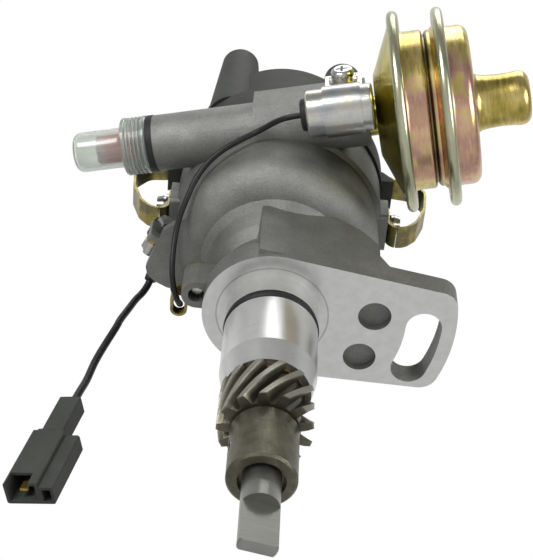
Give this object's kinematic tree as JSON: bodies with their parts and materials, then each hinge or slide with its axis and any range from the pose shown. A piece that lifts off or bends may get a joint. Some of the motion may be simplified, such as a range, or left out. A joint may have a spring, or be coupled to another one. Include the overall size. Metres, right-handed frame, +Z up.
{
  "type": "ignition distributor",
  "caption": "Engine ignition distributor with cast body, helical drive gear, twin-chamber vacuum advance, clipped cap, condenser and lead with connector.",
  "frame": {"origin": "on the shaft's axis, in the seating face of the clamp flange", "axes": "+Z up the shaft's axis toward the cap; +X along the advance tube, from the selector toward the vacuum unit; the tube lies on the -Y side"},
  "size_m": [0.1834, 0.1184, 0.274],
  "materials": {
    "cast": "as cast, lightly bead blasted",
    "steel": "ground and turned",
    "dark_steel": "cut, oiled, dark grey-brown",
    "bronze": "sintered bronze",
    "spring_steel": "drawn wire",
    "zinc_bright": "bright zinc plate",
    "zinc_yellow": "yellow zinc plate, grey in places",
    "chromate": "yellow chromate, iridescent",
    "chromate_rim": "greenish silver chromate",
    "brass": "rolled brass",
    "electrode": "plain",
    "black_plastic": "moulded, satin dark grey",
    "carbon": "carbon",
    "rubber": "moulded black rubber",
    "membrane": "fabric backed rubber",
    "lead_black": "black insulation",
    "clear_plastic": "clear moulded plastic, slightly grey",
    "red_plastic": "red moulded plastic"
  },
  "bodies": {
    "housing": {"housing": "cast", "shank_o_ring": "rubber", "bush_lower": "bronze", "bush_upper": "bronze", "breaker_base_plate": "steel", "cap_seal": "rubber", "clip_bases": "zinc_yellow", "clip_screws": "zinc_bright", "condenser_can": "zinc_bright", "condenser_strap": "zinc_bright", "condenser_screw": "zinc_bright", "condenser_seal": "rubber", "condenser_lead": "lead_black", "lead_clip": "zinc_yellow", "lead_clip_screw": "zinc_bright", "terminal_insulator": "black_plastic", "terminal_eyes": "brass", "terminal_bolt": "zinc_bright", "primary_lead": "lead_black", "lead_sleeve": "rubber", "connector_housing": "black_plastic", "connector_pin": "brass", "vacuum_inner_shell": "chromate", "vacuum_inner_cup": "chromate_rim", "vacuum_outer_cup": "chromate_rim", "vacuum_outer_shell": "chromate", "vacuum_membrane_inner": "membrane", "vacuum_membrane_outer": "membrane", "vacuum_spring": "spring_steel", "vacuum_ports": "chromate", "selector_gasket": "rubber", "selector_stem": "brass"},
    "shaft": {"drive_shaft": "steel", "drive_gear": "dark_steel", "gear_pin": "steel", "thrust_washer": "bronze", "governor_plate": "steel", "governor_springs": "spring_steel"},
    "cam": {"cam": "steel", "rotor": "black_plastic", "rotor_contact": "brass"},
    "weight_a": {"governor_weight_a": "steel"},
    "weight_b": {"governor_weight_b": "steel"},
    "vacuum_rod": {"vacuum_rod": "steel"},
    "breaker_plate": {"breaker_plate": "steel", "fixed_contact": "zinc_bright", "breaker_spring": "spring_steel"},
    "breaker_arm": {"breaker_arm": "black_plastic"},
    "cap": {"distributor_cap": "black_plastic", "cap_electrodes": "electrode", "brush_spring": "spring_steel"},
    "brush": {"centre_brush": "carbon"},
    "clip_right": {"clip_hook_right": "zinc_yellow"},
    "clip_left": {"clip_hook_left": "zinc_yellow"},
    "selector_cap": {"selector_cap": "clear_plastic"},
    "selector_knob": {"selector_knob": "red_plastic"}
  },
  "joints": [
    {"name": "shaft_spin", "type": "hinge", "parent": "housing", "child": "shaft", "pos_m": [0, 0, 0], "axis": [0, 0, 1], "continuous": true},
    {"name": "cam_advance", "type": "hinge", "parent": "shaft", "child": "cam", "pos_m": [0, 0, 0], "axis": [0, 0, 1], "range_deg": [0, 12], "stiffness_Nm_per_rad": 0.05},
    {"name": "weight_a_swing", "type": "hinge", "parent": "shaft", "child": "weight_a", "pos_m": [0.02, 0, 0.048], "axis": [0, 0, 1], "range_deg": [-14.7, 0]},
    {"name": "weight_b_swing", "type": "hinge", "parent": "shaft", "child": "weight_b", "pos_m": [-0.02, 0, 0.048], "axis": [0, 0, 1], "range_deg": [-14.7, 0]},
    {"name": "vacuum_pull", "type": "slide", "parent": "housing", "child": "vacuum_rod", "axis": [1, 0, 0], "range_m": [0, 0.005], "stiffness_N_per_m": 400, "deforming": ["vacuum_spring", "vacuum_membrane_inner"]},
    {"name": "breaker_plate_turn", "type": "hinge", "parent": "housing", "child": "breaker_plate", "pos_m": [0, 0, 0.064], "axis": [0, 0, 1], "range_deg": [0, 9.56]},
    {"name": "breaker_arm_swing", "type": "hinge", "parent": "breaker_plate", "child": "breaker_arm", "pos_m": [-0.019, 0.0155, 0.069], "axis": [0, 0, 1], "range_deg": [-0.7, 2], "stiffness_Nm_per_rad": 0.02},
    {"name": "cap_lift", "type": "slide", "parent": "housing", "child": "cap", "axis": [0, 0, 1], "range_m": [0, 0.03]},
    {"name": "brush_press", "type": "slide", "parent": "cap", "child": "brush", "axis": [0, 0, 1], "range_m": [0, 0.0015], "stiffness_N_per_m": 200, "deforming": ["brush_spring"]},
    {"name": "clip_right_swing", "type": "hinge", "parent": "housing", "child": "clip_right", "pos_m": [0.0457, 0.01097, 0.0595], "axis": [-0.2334, 0.9724, 0], "range_deg": [0, 51.6]},
    {"name": "clip_left_swing", "type": "hinge", "parent": "housing", "child": "clip_left", "pos_m": [-0.0457, -0.01097, 0.0595], "axis": [0.2334, -0.9724, 0], "range_deg": [0, 51.6]},
    {"name": "selector_cap_pull", "type": "slide", "parent": "housing", "child": "selector_cap", "axis": [-1, 0, 0], "range_m": [0, 0.03]},
    {"name": "selector_turn", "type": "hinge", "parent": "housing", "child": "selector_knob", "pos_m": [-0.057, -0.038, 0.0703], "axis": [1, 0, 0], "range_deg": [-180, 180]}
  ],
  "couplings": [
    {"joint": "weight_a_swing", "follows": "cam_advance", "ratio": -1.2222},
    {"joint": "weight_b_swing", "follows": "cam_advance", "ratio": -1.2222},
    {"joint": "breaker_plate_turn", "follows": "vacuum_pull", "rad_per_m": 33.333},
    {"joint": "clip_right_swing", "follows": "cap_lift", "rad_per_m": 30},
    {"joint": "clip_left_swing", "follows": "cap_lift", "rad_per_m": 30}
  ]
}
